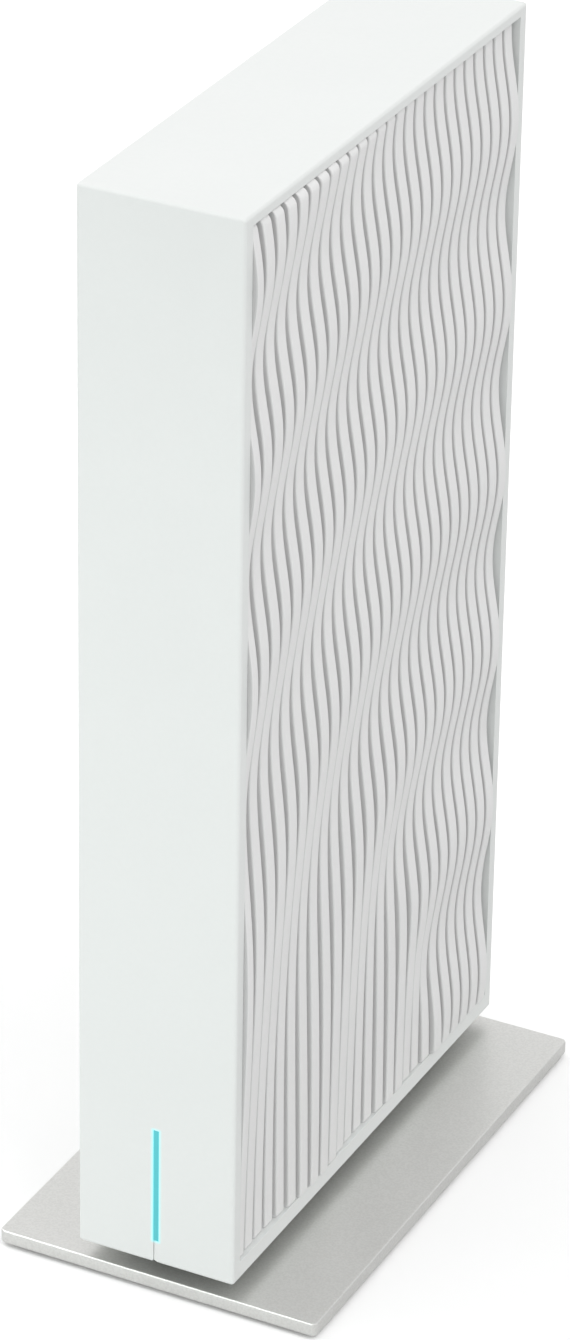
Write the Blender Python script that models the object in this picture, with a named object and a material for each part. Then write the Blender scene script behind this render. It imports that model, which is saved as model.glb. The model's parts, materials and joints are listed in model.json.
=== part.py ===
"""Mesh wifi node: a slim upright tower on a flat metal base plate.

The tower is a white frame closed by two ribbed side panels and a rear socket panel. Inside it a
plastic chassis carries the main board, its heatsink, the sockets, the switches and the antennas.
X is the width, the front faces -Y, and Z is up from the surface that the foot mat rests on.
"""
import math

import bmesh
import bpy
from mathutils import Matrix, Vector

MM = 0.001

# Driving dimensions
GAP = 0.3 * MM                       # clearance between pieces that meet
BODY_WIDTH = 34.2 * MM
BODY_DEPTH = 117.8 * MM
BODY_HEIGHT = 226.0 * MM
PLATE_WIDTH = 70.2 * MM
PLATE_THICKNESS = 3.0 * MM
MAT_STANDS_OUT = 0.8 * MM            # how far the foot mat lifts the plate
BODY_LIFT = 3.2 * MM                 # air gap between the plate and the tower

# Levels up the stack
PLATE_BOTTOM = MAT_STANDS_OUT
PLATE_TOP = PLATE_BOTTOM + PLATE_THICKNESS
BODY_BOTTOM = PLATE_TOP + BODY_LIFT
BODY_TOP = BODY_BOTTOM + BODY_HEIGHT
HALF_WIDTH = BODY_WIDTH / 2
HALF_DEPTH = BODY_DEPTH / 2

# Base plate and foot mat
PLATE_CORNER = 1.2 * MM
PLATE_CHAMFER = 0.35 * MM
MAT_INSET = 2.4 * MM                 # from the plate's edge to the mat's pocket
MAT_POCKET_DEPTH = 0.8 * MM
NECK_HALF_WIDTH = 8.0 * MM
NECK_HALF_DEPTH = 48.0 * MM
BASE_SCREW_X = 4.5 * MM
BASE_SCREW_Y = 38.0 * MM

# Frame: the thickness of its four walls
FRONT_WALL = 2.75 * MM
REAR_WALL = 3.0 * MM
TOP_WALL = 2.1 * MM
BOTTOM_WALL = 4.1 * MM
FRAME_EDGE = 0.5 * MM
INSIDE_FRONT = -HALF_DEPTH + FRONT_WALL
INSIDE_REAR = HALF_DEPTH - REAR_WALL
INSIDE_BOTTOM = BODY_BOTTOM + BOTTOM_WALL
INSIDE_TOP = BODY_TOP - TOP_WALL
WINDOW_HALF_WIDTH = 14.2 * MM        # rear window that the socket panel closes
WINDOW_MARGIN = 7.0 * MM

# Ribbed side panels
PANEL_BACK = 12.9 * MM               # inner face, from the middle of the tower
PANEL_FLOOR = 14.5 * MM              # bottom of the grooves
RIB_COUNT = 26
RIB_PITCH = 4.323 * MM
RIB_WIDTH = 3.12 * MM
RIB_FIRST_REAR_EDGE = 5.28 * MM      # rear edge of the foremost rib, from the tower's front
RIB_STATIONS = 24                    # stretches along each rib

# Swell of the rib faces: crests and hollows follow one another down each rib
SWELL_HEIGHT = 1.25 * MM             # either side of the frame's side face
SWELL_TOP = 222.4 * MM               # first hollow of the rearmost rib, above the tower's bottom
SWELL_STEP = 19.0 * MM               # hollow to crest on the rearmost rib
SWELL_DROP = 30.2 * MM               # how much lower the first hollow lies on the foremost rib
SWELL_DROP_POWER = 2.07
SWELL_FAN = 0.0113                   # how fast the steps lengthen towards the front and the foot
SWELL_FAN_POWER = 2.4
SWELL_STRETCH = 3.7 * MM             # longer steps near the foot
SWELL_LIMIT = 12.0

# Rear socket panel
PANEL_OUTER = 58.0 * MM              # Y of its outer face
PANEL_INNER = 56.2 * MM
SOCKET_FACE = 57.8 * MM
DC_LEVEL = 18.0 * MM                 # levels above the tower's bottom
POWER_LEVEL = 34.0 * MM
JACK_LEVELS = (54.0 * MM, 74.0 * MM, 94.0 * MM)
RESET_LEVEL = 110.0 * MM
PAIR_LEVEL = 122.0 * MM
VENT_FIRST = 136.0 * MM
VENT_PITCH = 6.0 * MM
VENT_COUNT = 14

# Inside, measured across the tower
CHASSIS_X = (-12.3 * MM, -10.3 * MM)
BOARD_X = (-8.0 * MM, -6.4 * MM)
ON_BOARD = BOARD_X[1] + GAP
BOARD_Y = (-46.0 * MM, 53.0 * MM)
BOARD_Z = (9.0 * MM, 140.0 * MM)
SOCKET_AXIS_X = 0.65 * MM
SWITCH_AXIS_X = -2.6 * MM
BOARD_SCREWS = ((-42.0 * MM, 13.0 * MM), (-42.0 * MM, 136.0 * MM),
                (30.0 * MM, 13.0 * MM), (48.0 * MM, 136.0 * MM))
HEATSINK_SCREWS = ((-39.0 * MM, 35.0 * MM), (17.0 * MM, 99.0 * MM))

# Travel of the three buttons
POWER_TRAVEL = 1.2 * MM
PAIR_TRAVEL = 0.8 * MM
RESET_TRAVEL = 0.5 * MM


def clear_scene():
    for old in list(bpy.data.objects):
        bpy.data.objects.remove(old, do_unlink=True)


def material(name, colour, roughness, metallic=0.0, glow=0.0):
    """Principled material with the piece's plain colour."""
    made = bpy.data.materials.new(name)
    made.use_nodes = True
    shader = made.node_tree.nodes["Principled BSDF"]
    shader.inputs["Base Color"].default_value = (*colour, 1.0)
    shader.inputs["Roughness"].default_value = roughness
    shader.inputs["Metallic"].default_value = metallic
    if glow:
        shader.inputs["Emission Color"].default_value = (*colour, 1.0)
        shader.inputs["Emission Strength"].default_value = glow
    return made


def object_from(name, shape, finish, location=(0.0, 0.0, 0.0)):
    """Turn a bmesh into a named object with its own material."""
    bmesh.ops.recalc_face_normals(shape, faces=shape.faces)
    mesh = bpy.data.meshes.new(name)
    shape.to_mesh(mesh)
    shape.free()
    made = bpy.data.objects.new(name, mesh)
    made.location = location
    if finish is not None:
        mesh.materials.append(finish)
    bpy.context.scene.collection.objects.link(made)
    return made


def add_box(shape, low, high):
    """Add a box between two corners to a bmesh."""
    low, high = Vector(low), Vector(high)
    size = high - low
    place = Matrix.Translation((low + high) / 2) @ Matrix.Diagonal((*size, 1.0))
    bmesh.ops.create_cube(shape, size=1.0, matrix=place)


def add_rod(shape, start, end, radius, segments=24, end_radius=None):
    """Add a cylinder, or a cone, between two points to a bmesh."""
    start, end = Vector(start), Vector(end)
    along = end - start
    turn = along.to_track_quat("Z", "Y").to_matrix().to_4x4()
    place = Matrix.Translation((start + end) / 2) @ turn
    tip = radius if end_radius is None else end_radius
    bmesh.ops.create_cone(shape, cap_ends=True, segments=segments, radius1=radius, radius2=tip,
                          depth=along.length, matrix=place)


def box(name, low, high, finish):
    """A box whose origin is at its own centre."""
    centre = (Vector(low) + Vector(high)) / 2
    shape = bmesh.new()
    add_box(shape, Vector(low) - centre, Vector(high) - centre)
    return object_from(name, shape, finish, centre)


def prism(shape, outline, axis, start, end):
    """Extrude a closed outline of two coordinates along X, Y or Z."""
    def point(first, second, along):
        return {"X": (along, first, second), "Y": (first, along, second),
                "Z": (first, second, along)}[axis]
    corners = [shape.verts.new(point(*corner, start)) for corner in outline]
    face = shape.faces.new(corners)
    grown = bmesh.ops.extrude_face_region(shape, geom=[face])
    moved = [item for item in grown["geom"] if isinstance(item, bmesh.types.BMVert)]
    bmesh.ops.translate(shape, verts=moved, vec=Vector(point(0.0, 0.0, end - start)))


def rounded_outline(half_x, half_y, radius, steps=4):
    """Rectangle with round corners, as a list of points."""
    outline = []
    for quarter in range(4):
        sign_x = (1, -1, -1, 1)[quarter]
        sign_y = (1, 1, -1, -1)[quarter]
        for step in range(steps + 1):
            angle = math.radians(90.0 * (quarter + step / steps))
            outline.append((sign_x * (half_x - radius) + radius * math.cos(angle),
                            sign_y * (half_y - radius) + radius * math.sin(angle)))
    return outline


def turned(name, profile, finish, location, segments=16):
    """Solid of revolution about Z from radius and height pairs that start and end on the axis."""
    shape = bmesh.new()
    points = [shape.verts.new((radius, 0.0, height)) for radius, height in profile]
    edges = [shape.edges.new(pair) for pair in zip(points, points[1:])]
    bmesh.ops.spin(shape, geom=points + edges, cent=(0, 0, 0), axis=(0, 0, 1),
                   angle=math.tau, steps=segments, use_merge=True)
    bmesh.ops.remove_doubles(shape, verts=shape.verts, dist=0.00001)
    made = object_from(name, shape, finish, location)
    smooth(made)
    return made


def smooth(made):
    made.data.shade_smooth()
    made.data.set_sharp_from_angle(angle=math.radians(35.0))


def boolean(target, name, shape, operation):
    """Cut a shape from an object, or join it on, and keep the shape as a hidden guide."""
    guide = object_from(name, shape, None)
    guide.hide_render = True
    guide.display_type = "WIRE"
    step = target.modifiers.new(name, "BOOLEAN")
    step.operation = operation
    step.solver = "EXACT"
    step.object = guide
    return target


def bevel(made, width, segments=2):
    edge = made.modifiers.new("edge", "BEVEL")
    edge.width = width
    edge.segments = segments
    edge.limit_method = "ANGLE"


def above(level):
    """Height in the world of a level above the tower's bottom."""
    return BODY_BOTTOM + level


# Base -----------------------------------------------------------------------------------------

def base_screw_places():
    return [(x, y) for x in (-BASE_SCREW_X, BASE_SCREW_X) for y in (-BASE_SCREW_Y, BASE_SCREW_Y)]


def make_base_plate(finish):
    shape = bmesh.new()
    outline = rounded_outline(PLATE_WIDTH / 2, HALF_DEPTH, PLATE_CORNER)
    prism(shape, outline, "Z", PLATE_BOTTOM, PLATE_TOP)
    plate = object_from("base_plate", shape, finish)
    bevel(plate, PLATE_CHAMFER, segments=1)
    pocket = bmesh.new()
    pocket_outline = rounded_outline(PLATE_WIDTH / 2 - MAT_INSET, HALF_DEPTH - MAT_INSET, 2 * MM)
    pocket_top = PLATE_BOTTOM + MAT_POCKET_DEPTH
    prism(pocket, pocket_outline, "Z", -MM, pocket_top)
    boolean(plate, "base_plate_mat_pocket", pocket, "DIFFERENCE")
    holes = bmesh.new()
    for x, y in base_screw_places():
        add_rod(holes, (x, y, pocket_top - 0.2 * MM), (x, y, PLATE_TOP + MM), 1.8 * MM)
    boolean(plate, "base_plate_screw_holes", holes, "DIFFERENCE")
    sinks = bmesh.new()
    for x, y in base_screw_places():
        add_rod(sinks, (x, y, pocket_top - 0.2 * MM), (x, y, pocket_top + 1.5 * MM),
                3.4 * MM, end_radius=1.75 * MM)
    boolean(plate, "base_plate_countersinks", sinks, "DIFFERENCE")


def make_foot_mat(finish):
    shape = bmesh.new()
    inset = MAT_INSET + GAP
    outline = rounded_outline(PLATE_WIDTH / 2 - inset, HALF_DEPTH - inset, 1.8 * MM)
    prism(shape, outline, "Z", 0.0, PLATE_BOTTOM + MAT_POCKET_DEPTH - GAP)
    object_from("foot_mat", shape, finish)


def make_neck(finish):
    """Spacer that carries the tower clear of the plate."""
    shape = bmesh.new()
    outline = rounded_outline(NECK_HALF_WIDTH, NECK_HALF_DEPTH, 3 * MM)
    prism(shape, outline, "Z", PLATE_TOP + GAP, BODY_BOTTOM - GAP)
    neck = object_from("neck_spacer", shape, finish)
    holes = bmesh.new()
    for x, y in base_screw_places():
        add_rod(holes, (x, y, PLATE_TOP - MM), (x, y, BODY_BOTTOM + MM), 1.8 * MM)
    boolean(neck, "neck_screw_holes", holes, "DIFFERENCE")


def make_base_screws(finish):
    """Countersunk screws from under the mat, through plate and neck, into the frame."""
    head = PLATE_BOTTOM + MAT_POCKET_DEPTH + 0.1 * MM
    tip = INSIDE_BOTTOM - 0.3 * MM
    length = tip - head
    profile = [(0, 0), (2.8 * MM, 0), (1.5 * MM, 1.3 * MM), (1.5 * MM, length - 0.6 * MM),
               (0.9 * MM, length), (0, length)]
    for index, (x, y) in enumerate(base_screw_places(), start=1):
        turned(f"base_screw_{index}", profile, finish, (x, y, head))


# Tower casing -----------------------------------------------------------------------------------

def light_slot():
    """Lowest and highest level of the status light bar on the front."""
    return above(5.2 * MM), above(30.7 * MM)


def make_main_frame(finish):
    """Front, top, rear and bottom walls in one closed loop, open on both sides."""
    frame = box("main_frame", (-HALF_WIDTH, -HALF_DEPTH, BODY_BOTTOM),
                (HALF_WIDTH, HALF_DEPTH, BODY_TOP), finish)
    bevel(frame, FRAME_EDGE)
    hollow = bmesh.new()
    add_box(hollow, (-BODY_WIDTH, INSIDE_FRONT, INSIDE_BOTTOM),
            (BODY_WIDTH, INSIDE_REAR, INSIDE_TOP))
    boolean(frame, "main_frame_hollow", hollow, "DIFFERENCE")
    cuts = bmesh.new()
    add_box(cuts, (-WINDOW_HALF_WIDTH, INSIDE_REAR - 2 * MM, above(WINDOW_MARGIN)),
            (WINDOW_HALF_WIDTH, HALF_DEPTH + MM, BODY_TOP - WINDOW_MARGIN + 2 * MM))
    slot_low, slot_high = light_slot()
    add_box(cuts, (-0.9 * MM, -HALF_DEPTH - MM, slot_low - GAP),
            (0.9 * MM, INSIDE_FRONT + MM, slot_high + GAP))
    for x, y in base_screw_places():
        add_rod(cuts, (x, y, BODY_BOTTOM - MM), (x, y, INSIDE_BOTTOM + MM), 1.8 * MM)
    for side in (-1, 1):
        for row in range(-2, 3):
            centre = Vector((side * 10.5 * MM, row * 20 * MM, BODY_BOTTOM))
            reach = Vector((1.1 * MM, 7 * MM, INSIDE_BOTTOM - BODY_BOTTOM + MM))
            add_box(cuts, centre - reach, centre + reach)
    boolean(frame, "main_frame_cuts", cuts, "DIFFERENCE")


def swell_level(count, forward):
    """Level above the tower's bottom of the hollow or crest number count, as a smooth number.

    forward runs from 0 on the rearmost rib to 1 on the foremost.
    """
    fan = 1.0 - SWELL_FAN * max(count, 0.0) ** SWELL_FAN_POWER * forward
    drop = SWELL_DROP * forward ** SWELL_DROP_POWER / fan
    return SWELL_TOP - SWELL_STEP * count - SWELL_STRETCH * (count / 10) ** 6 - drop


def swell(level, forward):
    """How far a rib's face stands out of the frame's side face at a level."""
    pole = (1.0 / (SWELL_FAN * forward)) ** (1 / SWELL_FAN_POWER) if forward > 0 else SWELL_LIMIT
    low, high = -2.0, min(SWELL_LIMIT, pole * 0.995)
    for _ in range(40):
        middle = (low + high) / 2
        if swell_level(middle, forward) > level:
            low = middle
        else:
            high = middle
    return -SWELL_HEIGHT * math.cos(math.pi * low)


def make_wave_panel(name, side, finish):
    """Side panel of upright ribs whose outer faces swell in and out down their height."""
    bottom = INSIDE_BOTTOM + GAP
    top = INSIDE_TOP - GAP
    front = INSIDE_FRONT + GAP
    rear = INSIDE_REAR - GAP
    shape = bmesh.new()

    def vertex(x, y, z):
        return shape.verts.new((side * x, y, z))

    back_low = [vertex(PANEL_BACK, y, bottom) for y in (front, rear)]
    back_high = [vertex(PANEL_BACK, y, top) for y in (front, rear)]
    cap_low, cap_high = [], []
    previous_base = None
    for rib in range(RIB_COUNT):
        rear_edge = -HALF_DEPTH + RIB_FIRST_REAR_EDGE + RIB_PITCH * rib
        front_edge = max(rear_edge - RIB_WIDTH, front)
        forward = max(0.0, 1.0 - rib / (RIB_COUNT - 2))
        levels = [bottom + (top - bottom) * step / RIB_STATIONS for step in range(RIB_STATIONS + 1)]
        heights = [HALF_WIDTH + swell(level - BODY_BOTTOM, forward) for level in levels]
        line_front = [vertex(x, front_edge, z) for x, z in zip(heights, levels)]
        line_rear = [vertex(x, rear_edge, z) for x, z in zip(heights, levels)]
        for step in range(RIB_STATIONS):
            shape.faces.new((line_front[step], line_rear[step], line_rear[step + 1],
                             line_front[step + 1]))
        if rib == 0:
            front_base = (back_low[0], back_high[0])
            shape.faces.new([back_low[0], *line_front, back_high[0]])
        else:
            front_base = (vertex(PANEL_FLOOR, front_edge, bottom),
                          vertex(PANEL_FLOOR, front_edge, top))
            shape.faces.new([front_base[0], *line_front, front_base[1]])
            shape.faces.new((*previous_base, front_base[1], front_base[0]))
            cap_low.append(front_base[0])
            cap_high.append(front_base[1])
        previous_base = (vertex(PANEL_FLOOR, rear_edge, bottom),
                         vertex(PANEL_FLOOR, rear_edge, top))
        shape.faces.new([previous_base[0], *line_rear, previous_base[1]])
        cap_low += [line_front[0], line_rear[0], previous_base[0]]
        cap_high += [line_front[-1], line_rear[-1], previous_base[1]]
    end_base = (vertex(PANEL_FLOOR, rear, bottom), vertex(PANEL_FLOOR, rear, top))
    shape.faces.new((*previous_base, end_base[1], end_base[0]))
    shape.faces.new((end_base[0], end_base[1], back_high[1], back_low[1]))
    shape.faces.new((back_low[0], back_high[0], back_high[1], back_low[1]))
    shape.faces.new([back_low[0], *cap_low, end_base[0], back_low[1]])
    shape.faces.new([back_high[0], *cap_high, end_base[1], back_high[1]])
    panel = object_from(name, shape, finish)
    clips = bmesh.new()
    for level in (30 * MM, 112 * MM, 194 * MM):
        for edge, inward in ((front, 1), (rear, -1)):
            ends = sorted((edge + inward * 0.2 * MM, edge + inward * 2.2 * MM))
            sides = sorted((side * 10.9 * MM, side * 13.5 * MM))
            add_box(clips, (sides[0], ends[0], above(level) - 5 * MM),
                    (sides[1], ends[1], above(level) + 5 * MM))
    boolean(panel, name + "_clips", clips, "UNION")


def make_rear_panel(finish):
    """Socket panel: rectangular openings for the sockets, round ones for the buttons, and vents."""
    low = above(WINDOW_MARGIN) + GAP
    high = BODY_TOP - WINDOW_MARGIN + 2 * MM - GAP
    half = WINDOW_HALF_WIDTH - GAP
    panel = box("rear_panel", (-half, PANEL_INNER, low), (half, PANEL_OUTER, high), finish)
    hooks = bmesh.new()
    for edge, out in ((low, -1), (high, 1)):
        tip = edge + out * 2.6 * MM
        step = edge - out * 1.5 * MM
        outline = [(PANEL_INNER + MM, edge - out * 0.3 * MM), (PANEL_INNER + MM, step),
                   (53.6 * MM, step), (53.6 * MM, tip), (INSIDE_REAR - GAP, tip),
                   (INSIDE_REAR - GAP, edge - out * 0.3 * MM)]
        prism(hooks, outline, "X", -6 * MM, 6 * MM)
    boolean(panel, "rear_panel_hooks", hooks, "UNION")
    cuts = bmesh.new()
    for level in JACK_LEVELS:
        cut_rear_opening(cuts, ON_BOARD - GAP, 7.7 * MM, level, 8.3 * MM)
    cut_rear_opening(cuts, ON_BOARD - GAP, 5.2 * MM, DC_LEVEL, 4.8 * MM)
    for level, radius in ((POWER_LEVEL, 3.85), (RESET_LEVEL, 1.55), (PAIR_LEVEL, 3.35)):
        add_rod(cuts, (SOCKET_AXIS_X, PANEL_INNER - MM, above(level)),
                (SOCKET_AXIS_X, PANEL_OUTER + MM, above(level)), radius * MM)
    for row in range(VENT_COUNT):
        cut_rear_opening(cuts, -9 * MM, 9 * MM, VENT_FIRST + row * VENT_PITCH, 1 * MM)
    boolean(panel, "rear_panel_cuts", cuts, "DIFFERENCE")


def cut_rear_opening(shape, left, right, level, half_height):
    add_box(shape, (left, PANEL_INNER - MM, above(level) - half_height),
            (right, PANEL_OUTER + MM, above(level) + half_height))


# Status light -----------------------------------------------------------------------------------

def make_status_light(finishes):
    """Light bar, its shroud, and the small board with three lamps behind it."""
    slot_low, slot_high = light_slot()
    guide = box("light_guide", (-0.6 * MM, -HALF_DEPTH + 0.1 * MM, slot_low),
                (0.6 * MM, INSIDE_FRONT + 0.8 * MM, slot_high), finishes["light_guide"])
    flange = bmesh.new()
    add_box(flange, (-2.5 * MM, INSIDE_FRONT + GAP, slot_low - GAP),
            (2.5 * MM, INSIDE_FRONT + 1.8 * MM, slot_high + 1.4 * MM))
    boolean(guide, "light_guide_flange", flange, "UNION")
    shroud_front = INSIDE_FRONT + 2.1 * MM
    shroud = box("light_shroud", (-3.5 * MM, shroud_front, slot_low - GAP),
                 (3.5 * MM, shroud_front + 3.8 * MM, slot_high + 2.9 * MM),
                 finishes["black_plastic"])
    slot = bmesh.new()
    add_box(slot, (-1.5 * MM, shroud_front - MM, slot_low + 1.7 * MM),
            (1.5 * MM, shroud_front + 5 * MM, slot_high - 0.6 * MM))
    boolean(shroud, "light_shroud_slot", slot, "DIFFERENCE")
    board_front = shroud_front + 4.5 * MM
    box("light_board", (-4 * MM, board_front, slot_low - GAP),
        (4 * MM, board_front + MM, slot_high + 2.9 * MM), finishes["circuit_board"])
    for index in range(3):
        level = slot_low + (4.9 + 7.9 * index) * MM
        box(f"status_lamp_{index + 1}", (-0.9 * MM, board_front - GAP - 0.8 * MM, level - 0.9 * MM),
            (0.9 * MM, board_front - GAP, level + 0.9 * MM), finishes["lamp"])
    ribbon = bmesh.new()
    start_y = board_front + MM + GAP
    outline = [(-1.2 * MM, start_y), (-1.6 * MM, start_y), (-1.6 * MM, start_y + 1.2 * MM),
               (-4.9 * MM, start_y + 3.9 * MM), (-4.9 * MM, start_y + 5.2 * MM),
               (-4.5 * MM, start_y + 5.2 * MM), (-4.5 * MM, start_y + 4.1 * MM),
               (-1.2 * MM, start_y + 1.4 * MM)]
    prism(ribbon, outline, "Z", slot_low + 12 * MM, slot_low + 17 * MM)
    object_from("light_ribbon", ribbon, finishes["ribbon"])
    box("light_connector", (ON_BOARD, start_y + 5.5 * MM, slot_low + 11 * MM),
        (ON_BOARD + 2.2 * MM, start_y + 9.5 * MM, slot_low + 18 * MM), finishes["white_connector"])


# Chassis and boards -----------------------------------------------------------------------------

def make_chassis(finish):
    """Inner plastic plate with four posts for the main board and open windows between them."""
    chassis = box("chassis", (CHASSIS_X[0], -50 * MM, above(6 * MM)),
                  (CHASSIS_X[1], 52 * MM, above(216 * MM)), finish)
    posts = bmesh.new()
    for y, level in BOARD_SCREWS:
        add_rod(posts, (CHASSIS_X[1] - 0.8 * MM, y, above(level)),
                (BOARD_X[0] - GAP, y, above(level)), 3 * MM)
    boolean(chassis, "chassis_posts", posts, "UNION")
    cuts = bmesh.new()
    for y, level in BOARD_SCREWS:
        add_rod(cuts, (CHASSIS_X[0] - MM, y, above(level)), (BOARD_X[0] + MM, y, above(level)),
                1.6 * MM)
    for low, high in ((26, 68), (80, 122), (150, 200)):
        add_box(cuts, (CHASSIS_X[0] - MM, -34 * MM, above(low * MM)),
                (CHASSIS_X[1] + MM, 36 * MM, above(high * MM)))
    boolean(chassis, "chassis_cuts", cuts, "DIFFERENCE")


def make_main_board(finish):
    board = box("main_board", (BOARD_X[0], BOARD_Y[0], above(BOARD_Z[0])),
                (BOARD_X[1], BOARD_Y[1], above(BOARD_Z[1])), finish)
    holes = bmesh.new()
    for y, level in BOARD_SCREWS + HEATSINK_SCREWS:
        add_rod(holes, (BOARD_X[0] - MM, y, above(level)), (BOARD_X[1] + MM, y, above(level)),
                1.6 * MM)
    boolean(board, "main_board_holes", holes, "DIFFERENCE")


def across_screw(name, y, level, head_bottom, head_height, tip, finish):
    """Pan-head screw that points towards -X."""
    length = head_bottom - tip
    profile = [(0, head_height), (1.6 * MM, head_height), (2.3 * MM, head_height * 0.4),
               (2.3 * MM, 0), (1.25 * MM, 0), (1.25 * MM, -length + 0.5 * MM),
               (0.8 * MM, -length), (0, -length)]
    screw = turned(name, profile, finish, (head_bottom, y, above(level)), segments=14)
    screw.rotation_euler = (0.0, math.radians(90.0), 0.0)


def make_board_screws(finish):
    for index, (y, level) in enumerate(BOARD_SCREWS, start=1):
        across_screw(f"board_screw_{index}", y, level, ON_BOARD, 1.6 * MM, -12 * MM, finish)
    for index, (y, level) in enumerate(HEATSINK_SCREWS, start=1):
        across_screw(f"heatsink_screw_{index}", y, level, -1.3 * MM, 1.5 * MM, -9 * MM, finish)


def chip(name, y, level, width, height, thickness, finish):
    box(name, (ON_BOARD, y, above(level)),
        (ON_BOARD + thickness, y + width, above(level) + height), finish)


def make_radio_can(name, y, level, width, height, finish):
    """Folded tin cover, open towards the board."""
    chip(name, y, level, width, height, 2.4 * MM, finish)
    inside = bmesh.new()
    wall = 0.4 * MM
    add_box(inside, (ON_BOARD - MM, y + wall, above(level) + wall),
            (ON_BOARD + 2 * MM, y + width - wall, above(level) + height - wall))
    boolean(bpy.data.objects[name], name + "_inside", inside, "DIFFERENCE")


def make_components(finishes):
    """Chips, cans and power parts on the main board."""
    chip("processor", -20 * MM, 56 * MM, 19 * MM, 19 * MM, MM, finishes["chip"])
    chip("memory_chip", 24 * MM, 60 * MM, 9 * MM, 12 * MM, MM, finishes["chip"])
    chip("flash_chip", 25 * MM, 44 * MM, 6 * MM, 8 * MM, MM, finishes["chip"])
    make_radio_can("radio_can_low_band", -36 * MM, 106 * MM, 26 * MM, 24 * MM, finishes["tin"])
    make_radio_can("radio_can_high_band", -4 * MM, 106 * MM, 26 * MM, 24 * MM, finishes["tin"])
    chip("power_coil", 14 * MM, 14 * MM, 8 * MM, 8 * MM, 4.2 * MM, finishes["coil"])
    shape = bmesh.new()
    add_rod(shape, (ON_BOARD, 4 * MM, above(19 * MM)), (ON_BOARD + 8 * MM, 4 * MM, above(19 * MM)),
            3.15 * MM)
    capacitor = object_from("capacitor", shape, finishes["aluminium_can"])
    smooth(capacitor)
    box("thermal_pad", (-4.8 * MM, -19 * MM, above(57 * MM)), (-3.9 * MM, -2 * MM, above(74 * MM)),
        finishes["thermal_pad"])


def make_heatsink(finish):
    """Comb of upright fins on a base plate, made in one extrusion."""
    base_back, base_front, fin_tip = -3.6 * MM, -1.6 * MM, 10.5 * MM
    fin_pitch, fin_thickness, fin_count = 5.4 * MM, 1.4 * MM, 10
    first = -36 * MM
    outline = [(base_back, -42 * MM), (base_front, -42 * MM)]
    for index in range(fin_count):
        start = first + index * fin_pitch
        outline += [(base_front, start), (fin_tip, start), (fin_tip, start + fin_thickness),
                    (base_front, start + fin_thickness)]
    outline += [(base_front, 20 * MM), (base_back, 20 * MM)]
    shape = bmesh.new()
    prism(shape, outline, "Z", above(32 * MM), above(102 * MM))
    sink = object_from("heatsink", shape, finish)
    holes = bmesh.new()
    for y, level in HEATSINK_SCREWS:
        add_rod(holes, (base_back - MM, y, above(level)), (base_front + MM, y, above(level)),
                1.6 * MM)
    boolean(sink, "heatsink_holes", holes, "DIFFERENCE")


# Sockets, switches and buttons --------------------------------------------------------------------

def make_network_jacks(finish):
    """Jacks lie on their side, so the plug's latch faces +X."""
    for index, level in enumerate(JACK_LEVELS, start=1):
        centre = above(level)
        jack = box(f"network_jack_{index}", (ON_BOARD, 36.8 * MM, centre - 8 * MM),
                   (7.4 * MM, SOCKET_FACE, centre + 8 * MM), finish)
        outline = [(-4.4, -5.9), (2.4, -5.9), (2.4, -3.1), (5.4, -3.1),
                   (5.4, 3.1), (2.4, 3.1), (2.4, 5.9), (-4.4, 5.9)]
        cavity = bmesh.new()
        prism(cavity, [(SOCKET_AXIS_X + x * MM, centre + z * MM) for x, z in outline], "Y",
              44 * MM, SOCKET_FACE + MM)
        boolean(jack, f"network_jack_{index}_cavity", cavity, "DIFFERENCE")


def make_power_jack(finish):
    """Round power inlet with its centre pin set well back."""
    centre = above(DC_LEVEL)
    jack = box("power_jack", (ON_BOARD, 43.8 * MM, centre - 4.5 * MM),
               (4.9 * MM, SOCKET_FACE, centre + 4.5 * MM), finish)
    cavity = bmesh.new()
    add_rod(cavity, (0, 47.8 * MM, centre), (0, SOCKET_FACE + MM, centre), 3.25 * MM)
    boolean(jack, "power_jack_cavity", cavity, "DIFFERENCE")
    pin = bmesh.new()
    add_rod(pin, (0, 46.8 * MM, centre), (0, 53.2 * MM, centre), MM, segments=12)
    boolean(jack, "power_jack_pin", pin, "UNION")


def make_switch(name, level, finish):
    """Switch block on the board with its plunger towards the rear."""
    centre = above(level)
    switch = box(name, (ON_BOARD, 43.5 * MM, centre - 3 * MM), (-0.6 * MM, 49 * MM, centre + 3 * MM),
                 finish)
    plunger = bmesh.new()
    add_rod(plunger, (SWITCH_AXIS_X, 48.2 * MM, centre), (SWITCH_AXIS_X, 49.7 * MM, centre),
            1.2 * MM, segments=12)
    boolean(switch, name + "_plunger", plunger, "UNION")


def make_button(name, level, radius, face, travel, finish):
    """Button cap, a flange that keeps it behind the panel, and a leg that meets the switch.

    Its origin is on the axis that it slides along, at the panel's outer face.
    """
    shape = bmesh.new()
    add_rod(shape, (0, -3.4 * MM, 0), (0, face - PANEL_OUTER, 0), radius)
    button = object_from(name, shape, finish, (SOCKET_AXIS_X, PANEL_OUTER, above(level)))
    back = bmesh.new()
    half = 4.4 * MM
    add_box(back, (SOCKET_AXIS_X - half, 54.2 * MM, above(level) - half),
            (SOCKET_AXIS_X + half, 55.4 * MM, above(level) + half))
    boolean(button, name + "_flange", back, "UNION")
    leg = bmesh.new()
    add_box(leg, (SWITCH_AXIS_X - MM, 49.8 * MM + travel, above(level) - MM),
            (SWITCH_AXIS_X + MM, 54.6 * MM, above(level) + MM))
    boolean(button, name + "_leg", leg, "UNION")
    smooth(button)


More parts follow.
